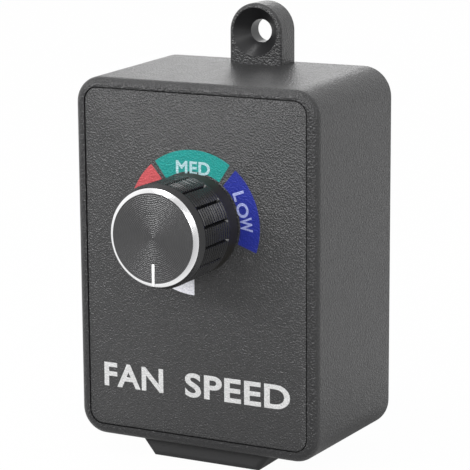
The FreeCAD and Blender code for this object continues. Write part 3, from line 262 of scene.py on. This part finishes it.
def make_finishes():
    """Make every material of the object, by the name of its slot or use."""
    made = {}

    def finish(name, *settings, **constants):
        made[name] = Finish(name, *settings, **constants)
        return made[name]

    # The hanging hole's cone is smooth, and its colour is painted darker as painted shade in
    # that recess; the boss is smooth and dull
    housing = finish("housing_plastic", (0.026, 0.026, 0.027), 0.32)
    height = housing.along(2)
    across, up = housing.along(0), height - HANG_HEIGHT
    smooth_shaded_cone = across * across + up * up < HANG_CONE_RADIUS ** 2
    boss = height < BOSS_TOP
    smooth = housing.math("MAXIMUM", smooth_shaded_cone, boss)
    # Painted shade: the cone of the hanging hole gets a darker colour in place of the shade that
    # falls in it
    housing.set("Base Color", housing.blend(
        smooth_shaded_cone, housing.mottled(1.2, 0.15), (0.014, 0.014, 0.015, 1.0)))
    housing.set("Roughness", housing.noise(3.0, 3.0) * 0.12 + boss * 0.25 + 0.26)
    pebble(housing, 0.48, 0.22, 1 - smooth)

    panel = finish("panel_print", (0.044, 0.044, 0.045), 0.22)
    panel.mottle(0.42, 0.5)
    panel.wear(0.9, 0.16, 0.28)
    pebble(panel, 0.44, 0.3)

    for name, colour in INKS.items():
        ink = finish(name, colour, 0.5, Specular_IOR_Level=0.35)
        ink.mottle(0.42, 0.3)
        pebble(ink, 0.44, 0.2)

    # The knob's foot is duller and a little paler than its grip
    knob = finish("knob_metal", (0.009, 0.009, 0.01), 0.3, Specular_IOR_Level=0.52)
    foot = knob.along(1) - KNOB_FRONT > FOOT_START * MM
    knob.set("Base Color", knob.blend(
        foot, knob.mottled(0.8, 0.2), (0.02, 0.018, 0.014, 1.0)))
    knob.set("Roughness", knob.noise(0.7, 3.0) * 0.12 + foot * 0.4 + 0.2)
    knob.emboss(knob.rings(0.5), 0.05)

    face = finish("turned_face", (0.18, 0.18, 0.183), 0.27, Metallic=1.0)
    face.mottle(2.0, 0.08)

    bevel = finish("cut_bevel", (0.97, 0.97, 0.98), 0.22, Metallic=1.0)
    bevel.wear(0.5, 0.15, 0.3)

    paint = finish("pointer_paint", (0.86, 0.86, 0.86), 0.4)
    paint.mottle(0.4, 0.05)

    black = finish("black_plastic", (0.025, 0.025, 0.026), 0.45)
    black.wear(1.5, 0.38, 0.55)
    pebble(black, 0.3, 0.012)

    for name, (colour, rough) in METALS.items():
        metal = finish(name, colour, rough, Metallic=1.0)
        metal.mottle(1.5, 0.06)
        metal.wear(0.6, rough - 0.06, rough + 0.1)
        metal.emboss(metal.noise(0.25, 4.0), 0.006)

    wafer = finish("wafer_phenolic", (0.25, 0.12, 0.05), 0.5)
    wafer.mottle(0.5, 0.25)

    board = finish("board_laminate", (0.02, 0.13, 0.05), 0.32)
    board.mottle(0.9, 0.18)
    board.emboss(board.noise(0.5), 0.02)

    core = finish("core_ferrite", (0.05, 0.05, 0.052), 0.62)
    core.mottle(0.4, 0.3)

    winding = finish("winding_copper", (0.62, 0.22, 0.07), 0.3, Metallic=1.0)
    winding.mottle(2.5, 0.12)

    film = finish("film_yellow", (0.72, 0.45, 0.04), 0.34)
    film.mottle(3.0, 0.05)
    film.wear(1.0, 0.28, 0.4)

    resistor = finish("resistor_body", (0.55, 0.36, 0.16), 0.36)
    resistor.mottle(1.0, 0.1)

    glass = finish("glass_body", (0.85, 0.9, 0.9), 0.04, Transmission_Weight=0.9, IOR=1.5)
    glass.wear(2.0, 0.03, 0.08)

    terminals = finish("block_green", (0.03, 0.24, 0.09), 0.4)
    terminals.mottle(2.0, 0.06)
    terminals.wear(1.0, 0.34, 0.46)
    return made


finishes = make_finishes()


# Modelling by hand

def select_only(piece):
    """Select one object and make it the active one."""
    bpy.ops.object.select_all(action="DESELECT")
    piece.select_set(True)
    bpy.context.view_layer.objects.active = piece


def open_piece(piece, mode="VERT"):
    """Go into edit mode on one piece with nothing selected."""
    select_only(piece)
    bpy.ops.object.mode_set(mode="EDIT")
    bpy.ops.mesh.select_mode(type=mode)
    bpy.ops.mesh.select_all(action="DESELECT")


def close_piece():
    """Leave edit mode."""
    bpy.ops.object.mode_set(mode="OBJECT")


def pick(piece, parts, test):
    """Select the verts, edges or faces of the open piece that pass a test."""
    mesh = bmesh.from_edit_mesh(piece.data)
    for part in getattr(mesh, parts):
        if test(part):
            part.select_set(True)
    mesh.select_flush_mode()
    bmesh.update_edit_mesh(piece.data)


def added(name):
    """Name the object that was just added."""
    piece = bpy.context.active_object
    piece.name = name
    piece.data.name = name
    return piece


def settle(piece):
    """Bring the object to the origin, with its place in its mesh."""
    select_only(piece)
    bpy.ops.object.transform_apply(location=True, rotation=True, scale=True)


def block(name, low, high):
    """Add a box between two corners, in metres."""
    low, high = Vector(low), Vector(high)
    bpy.ops.object.select_all(action="DESELECT")
    bpy.ops.mesh.primitive_cube_add(size=1, location=(low + high) / 2)
    piece = added(name)
    piece.scale = high - low
    settle(piece)
    return piece


def turned(name, profile, columns, phase):
    """Draw a profile of (radius, depth) in millimetres and spin it round the dial's axis."""
    side = Vector((math.sin(math.radians(phase)), 0, math.cos(math.radians(phase))))
    places = [DIAL + side * radius * MM + Vector((0, KNOB_FRONT + depth * MM, 0))
              for radius, depth in profile]
    bpy.ops.object.select_all(action="DESELECT")
    bpy.ops.mesh.primitive_plane_add(size=MM, location=places[0])
    piece = added(name)
    settle(piece)
    open_piece(piece)
    bpy.ops.mesh.select_all(action="SELECT")
    bpy.ops.mesh.merge(type="CENTER")
    for before, after in zip(places, places[1:]):
        bpy.ops.mesh.extrude_region_move(TRANSFORM_OT_translate={"value": after - before})
    bpy.ops.mesh.select_all(action="SELECT")
    bpy.ops.mesh.spin(steps=columns, angle=2 * math.pi, center=DIAL, axis=(0, 1, 0))
    bpy.ops.mesh.select_all(action="SELECT")
    bpy.ops.mesh.remove_doubles(threshold=2e-7)
    bpy.ops.mesh.normals_make_consistent(inside=False)
    close_piece()
    return piece


def apply_modifier(piece, kind, **settings):
    """Add a modifier to a piece and apply it at once."""
    select_only(piece)
    modifier = piece.modifiers.new(kind.title(), kind)
    for name, value in settings.items():
        setattr(modifier, name, value)
    bpy.ops.object.modifier_apply(modifier=modifier.name)


def joined(name, pieces):
    """Join pieces into one under a new name."""
    select_only(pieces[0])
    for piece in pieces:
        piece.select_set(True)
    if len(pieces) > 1:
        bpy.ops.object.join()
    return added(name)


def dress(piece, finish, slot, body, *replaced, smooth=35.0):
    """Give a piece its finish, its body and the nodes that it stands for."""
    if not piece.data.materials:
        piece.data.materials.append(finishes[finish].material)
    select_only(piece)
    bpy.ops.object.shade_smooth_by_angle(angle=math.radians(smooth))
    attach(piece, body)
    if replaced:
        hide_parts(*replaced)


# Dial knob

def knob_profile():
    """Walk from the middle of the face round the rim and back into the hollow."""
    profile = [(0.0, 0.0)]
    for mark in range(FACE_MARKS):
        crest = FIRST_MARK + mark * MARK_PITCH
        profile += [(crest, 0.0), (crest + MARK_PITCH / 4, MARK_DEPTH / 2),
                    (crest + MARK_PITCH / 2, MARK_DEPTH),
                    (crest + MARK_PITCH * 3 / 4, MARK_DEPTH / 2)]
    # Edge of the face, bright bevel, rim and the flare to the grip
    profile += [(FACE - 0.08, 0.0), (FACE, 0.0), (RIM - 0.05, 0.95), (RIM, 1.02), (RIM, 1.3),
                (RIM + 0.05, 1.45), (GRIP - 0.1, 3.0), (GRIP, 3.15)]
    pitch = (RIDGES_END - RIDGES_START) / RIDGES
    for ridge in range(RIDGES):
        crest = GRIP - (GRIP - GRIP_REAR) * ridge / RIDGES
        start = RIDGES_START + ridge * pitch
        profile += [(crest, start), (crest, start + pitch * 0.3),
                    (crest - VALLEY, start + pitch * 0.6), (crest - VALLEY, start + pitch * 0.7)]
    # Smooth foot, rear edge and the hollow in front of it
    profile += [(GRIP_REAR, RIDGES_END), (GRIP_REAR, RIDGES_END + 0.3),
                (FOOT, RIDGES_END + 0.6), (FOOT, 20.0), (FOOT, 22.3), (FOOT - 0.3, 22.6),
                (12.0, 22.6), (11.95, 22.5), (11.95, 3.1), (11.85, 3.0), (0.0, 3.0)]
    return profile


def dial_place(place):
    """Give a place's radius round the dial's axis and its depth behind the knob's face."""
    side = place - DIAL
    return math.hypot(side.x, side.z) / MM, (place.y - KNOB_FRONT) / MM


def make_knob():
    """Turn the knob, cut its grip notches and lay the pointer in its face."""
    knob = turned("knob_cap", knob_profile(), COLUMNS, COLUMN_PHASE)

    stride = COLUMNS // NOTCHES

    def in_notch(vert):
        radius, depth = dial_place(vert.co)
        side = vert.co - DIAL
        clock = math.degrees(math.atan2(side.x, side.z))
        column = (clock - COLUMN_PHASE) / 360 * COLUMNS
        on_notch = abs(column - round(column / stride) * stride) < 0.3
        return on_notch and radius > NOTCH_INSIDE and NOTCH_START < depth < NOTCH_END

    open_piece(knob)
    pick(knob, "verts", in_notch)
    bpy.ops.transform.resize(value=(NOTCH_SCALE, 1, NOTCH_SCALE), center_override=DIAL)
    close_piece()

    for name in ("knob_metal", "turned_face", "cut_bevel"):
        knob.data.materials.append(finishes[name].material)
    for polygon in knob.data.polygons:
        radius, depth = dial_place(polygon.center)
        if depth < 0.1 and radius < FACE:
            polygon.material_index = 1
        elif depth < BEVEL_REAR:
            polygon.material_index = 2
    dress(knob, "knob_metal", "knob_metal", "knob", "control_knob", smooth=36)

    half = POINTER_WIDTH / 2 * MM
    pointer = block("knob_pointer",
                    (-half, KNOB_FRONT - POINTER_PROUD * MM, DIAL.z - POINTER_OUTER * MM),
                    (half, KNOB_FRONT + POINTER_SUNK * MM, DIAL.z - POINTER_INNER * MM))
    apply_modifier(pointer, "BEVEL", width=POINTER_EDGE * MM, segments=2)
    dress(pointer, "pointer_paint", "knob_metal", "knob")


# Face panel and its print

def make_panel():
    """Shape the panel: round corners, a fine bevel in front and the hole for the shaft."""
    low, high = PANEL_LOW, PANEL_HIGH

    def runs_back(edge):
        return abs((edge.verts[0].co - edge.verts[1].co).y) > 0.5 * MM

    def in_front(edge):
        return all(abs(vert.co.y - low.y) < 0.01 * MM for vert in edge.verts)

    panel = block("face_plate", low, high)
    open_piece(panel, "EDGE")
    pick(panel, "edges", runs_back)
    bpy.ops.mesh.bevel(offset=PANEL_CORNER * MM, segments=12)
    bpy.ops.mesh.select_all(action="DESELECT")
    pick(panel, "edges", in_front)
    bpy.ops.mesh.bevel(offset=PANEL_EDGE * MM, segments=2)
    close_piece()

    bpy.ops.object.select_all(action="DESELECT")
    bpy.ops.mesh.primitive_cylinder_add(
        vertices=48, radius=SHAFT_HOLE_RADIUS * MM, depth=4 * MM,
        rotation=(math.pi / 2, 0, 0), location=DIAL + Vector((0, low.y, 0)))
    drill = added("drill")
    settle(drill)
    apply_modifier(panel, "BOOLEAN", operation="DIFFERENCE", solver="EXACT", object=drill)
    bpy.data.objects.remove(drill)
    dress(panel, "panel_print", "panel_print", "housing", "face_panel")


def field(name, finish, start, end):
    """Lay one printed field of the speed ring, between two clock angles."""
    thickness = RING_THICKNESS * MM
    piece = block(name, (-thickness / 2, PANEL_FRONT - thickness, DIAL.z + RING_INNER * MM),
                  (thickness / 2, PANEL_FRONT, DIAL.z + RING_OUTER * MM))
    open_piece(piece, "FACE")
    pick(piece, "faces", lambda face: face.normal.x < 0.5)
    bpy.ops.mesh.delete(type="FACE")
    bpy.ops.mesh.select_all(action="SELECT")
    bpy.ops.transform.rotate(value=-math.radians(start), orient_axis="Y", center_override=DIAL)
    bpy.ops.mesh.spin(steps=int((end - start) / 2), angle=-math.radians(end - start),
                      center=DIAL, axis=(0, 1, 0))
    bpy.ops.mesh.select_all(action="SELECT")
    bpy.ops.mesh.remove_doubles(threshold=1e-6)
    bpy.ops.mesh.normals_make_consistent(inside=False)
    close_piece()
    dress(piece, finish, "panel_print", "housing")


def lettering(word, width, height, centre, turn):
    """Cut a word out flat, fit it to a size and lay it on the panel."""
    bpy.ops.object.select_all(action="DESELECT")
    bpy.ops.object.text_add()
    text = added("word_" + word)
    text.data.body = word
    text.data.size = 10 * MM
    text.data.extrude = LETTER_EXTRUDE * MM
    text.data.bevel_depth = LETTER_STROKE * MM
    text.data.bevel_resolution = 0
    text.data.resolution_u = 5
    text.data.space_character = 1.06
    bpy.ops.object.convert(target="MESH")

    low, high = ([limit(vert.co[axis] for vert in text.data.vertices) for axis in (0, 1)]
                 for limit in (min, max))
    shift = Matrix.Translation((-(low[0] + high[0]) / 2, -(low[1] + high[1]) / 2, 0))
    size = Matrix.Diagonal((width * MM / (high[0] - low[0]), height * MM / (high[1] - low[1]),
                            LETTER_FLATTEN, 1))
    lean = Matrix.Rotation(math.radians(turn), 4, "Y") @ Matrix.Rotation(math.pi / 2, 4, "X")
    place = Matrix.Translation((centre[0] * MM, PANEL_FRONT - LETTER_FRONT * MM,
                                centre[1] * MM))
    text.matrix_world = place @ lean @ size @ shift
    settle(text)

    open_piece(text)
    bpy.ops.mesh.select_all(action="SELECT")
    bpy.ops.mesh.remove_doubles(threshold=1e-7)
    close_piece()
    return text


def make_print():
    """Print the speed ring, its words and the legend."""
    field("field_off", "ink_white", 180.0, 244.0)
    field("field_high", "ink_red", 249.5, 319.5)
    field("field_med", "ink_teal", 324.0, 393.5)
    field("field_low", "ink_blue", 39.5, 109.0)
    dial = DIAL.z / MM

    def on_dial(clock, radius):
        angle = math.radians(clock)
        return math.sin(angle) * radius, dial + math.cos(angle) * radius

    # Each word's ink and its letters: width, height, centre and turn
    words = {
        "word_med": ("ink_pale_teal", [("MED", 10.8, 3.7, (-0.1, dial + 15.65), 0)]),
        "word_low": ("ink_pale_blue", [
            ("L", 2.5, 3.6, (14.35, dial + 8.85), 71),
            ("O", 4.2, 3.7, (15.4, dial + 4.95), 76),
            ("W", 4.2, 3.8, (16.5, dial + 0.95), 84)]),
        "word_high": ("ink_pale_red", [
            ("H", 2.9, 3.6, on_dial(260, 16.6), -92),
            ("I", 0.7, 3.6, on_dial(268.5, 16.6), -90),
            ("G", 3.4, 3.7, on_dial(278, 16.6), -84),
            ("H", 2.9, 3.6, on_dial(291, 16.6), -76)]),
        "word_off": ("ink_black", [("OFF", 8.6, 3.6, on_dial(212, 17.4), 32)]),
        "legend_fan": ("ink_legend", [("FAN", 19.6, 7.1, (-20.3, -34.0), 0)]),
        "legend_speed": ("ink_legend", [("SPEED", 33.4, 7.2, (13.3, -34.0), 0)]),
    }
    for name, (ink, letters) in words.items():
        piece = joined(name, [lettering(*letter) for letter in letters])
        dress(piece, ink, "panel_print", "housing", smooth=1)


make_knob()
make_panel()
make_print()


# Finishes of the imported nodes

for part in frame["record"]["subparts"]:
    slots = nodes[part["node"]].data.materials
    slots.clear()
    slots.append(finishes[part["material_slot"]].material)


# Floor, light and camera

def background_share(tree):
    """Give 1 where a ray shows the background to the camera, metal or glass."""
    rays = tree.nodes.new("ShaderNodeLightPath").outputs
    share = rays["Is Camera Ray"]
    for name in ("Is Glossy Ray", "Is Transmission Ray"):
        most = tree.nodes.new("ShaderNodeMath")
        most.operation = "MAXIMUM"
        tree.links.new(share, most.inputs[0])
        tree.links.new(rays[name], most.inputs[1])
        share = most.outputs[0]
    return share


def step(tree, value, low, high, start=0, end=1):
    """Let a level rise from low to high while the value goes from start to end."""
    level = tree.nodes.new("ShaderNodeMapRange")
    for name, amount in (("Value", value), ("From Min", start), ("From Max", end),
                         ("To Min", low), ("To Max", high)):
        if isinstance(amount, bpy.types.NodeSocket):
            tree.links.new(amount, level.inputs[name])
        else:
            level.inputs[name].default_value = amount
    return level.outputs["Result"]


def camera_ray(tree):
    """Give 1 where the camera itself looks."""
    return tree.nodes.new("ShaderNodeLightPath").outputs["Is Camera Ray"]


def make_world():
    """Surround the object with white paper behind and a dimmer room in front."""
    world = bpy.data.worlds.new("studio")
    bpy.context.scene.world = world
    world.use_nodes = True
    tree = world.node_tree
    background = tree.nodes["Background"]
    background.inputs["Color"].default_value = (1, 1, 1, 1)
    direction = tree.nodes.new("ShaderNodeTexCoord")
    split = tree.nodes.new("ShaderNodeSeparateXYZ")
    tree.links.new(direction.outputs["Generated"], split.inputs[0])
    room = step(tree, split.outputs["Y"], ROOM_FRONT, ROOM_BACK, -0.85, 0.0)
    soft = step(tree, split.outputs["Z"], SKY_LOW, SKY_HIGH)
    shown = step(tree, background_share(tree), soft, room)
    seen = step(tree, camera_ray(tree), shown, 1.0)
    tree.links.new(seen, background.inputs["Strength"])


def make_floor():
    """Lay the white floor, whose glow in reflections is painted darker beneath the object as a
    painted shadow.
    """
    bpy.ops.object.select_all(action="DESELECT")
    bpy.ops.mesh.primitive_plane_add(size=6, location=(0, 0, FLOOR_HEIGHT - 0.1 * MM))
    floor = added("floor")
    material = bpy.data.materials.new("pale_floor")
    material.use_nodes = True
    tree = material.node_tree
    paper = tree.nodes["Principled BSDF"]
    paper.inputs["Base Color"].default_value = (0.25, 0.25, 0.25, 1)
    paper.inputs["Roughness"].default_value = 0.9
    glow = tree.nodes.new("ShaderNodeEmission")
    view = tree.nodes.new("ShaderNodeNewGeometry")
    split = tree.nodes.new("ShaderNodeSeparateXYZ")
    tree.links.new(view.outputs["Incoming"], split.inputs[0])
    room = step(tree, split.outputs["Y"], ROOM_FRONT, ROOM_BACK, 0.85, 0.0)
    spread = tree.nodes.new("ShaderNodeVectorMath")
    spread.operation = "LENGTH"
    tree.links.new(view.outputs["Position"], spread.inputs[0])
    # Painted shadow: the glow seen in reflections drops to a dark level close beneath the object
    near = step(tree, spread.outputs["Value"], FLOOR_PAINTED_SHADOW, room, PAINTED_SHADOW_END, PAINTED_SHADOW_FADED)
    seen = step(tree, camera_ray(tree), near, FLOOR_SEEN)
    tree.links.new(seen, glow.inputs["Strength"])
    mix = tree.nodes.new("ShaderNodeMixShader")
    share = step(tree, background_share(tree), 0, FLOOR_GLOW_SHARE)
    tree.links.new(share, mix.inputs["Fac"])
    tree.links.new(paper.outputs[0], mix.inputs[1])
    tree.links.new(glow.outputs[0], mix.inputs[2])
    tree.links.new(mix.outputs[0], tree.nodes["Material Output"].inputs["Surface"])
    floor.data.materials.append(material)


def make_lamp(name, place, size, power):
    """Hang a lamp that shines on the origin."""
    bpy.ops.object.light_add(type="AREA", location=place)
    lamp = bpy.context.active_object
    lamp.name = name
    lamp.data.shape = "RECTANGLE"
    lamp.data.size, lamp.data.size_y = size
    lamp.data.energy = power
    lamp.rotation_euler = (-Vector(place)).to_track_quat("-Z", "Y").to_euler()


def make_camera():
    """Stand where the photograph was taken from."""
    azimuth = math.radians(CAMERA_AZIMUTH)
    elevation = math.radians(CAMERA_ELEVATION)
    away = Vector((math.sin(azimuth) * math.cos(elevation),
                   -math.cos(azimuth) * math.cos(elevation), math.sin(elevation)))
    bpy.ops.object.camera_add()
    camera = bpy.context.active_object
    camera.matrix_world = (
        Matrix.Translation(Vector(CAMERA_TARGET) * MM + away * CAMERA_DISTANCE * MM)
        @ Matrix.Rotation(azimuth, 4, "Z")
        @ Matrix.Rotation(math.pi / 2 - elevation, 4, "X")
        @ Matrix.Rotation(math.radians(CAMERA_ROLL), 4, "Z"))
    camera.data.sensor_width = CAMERA_SENSOR
    camera.data.lens = CAMERA_LENS
    camera.data.clip_start = 10 * MM
    bpy.context.scene.camera = camera


make_world()
make_floor()
for lamp_name, lamp_settings in LAMPS.items():
    make_lamp(lamp_name, *lamp_settings)
make_camera()
bpy.context.scene.view_settings.view_transform = "Standard"
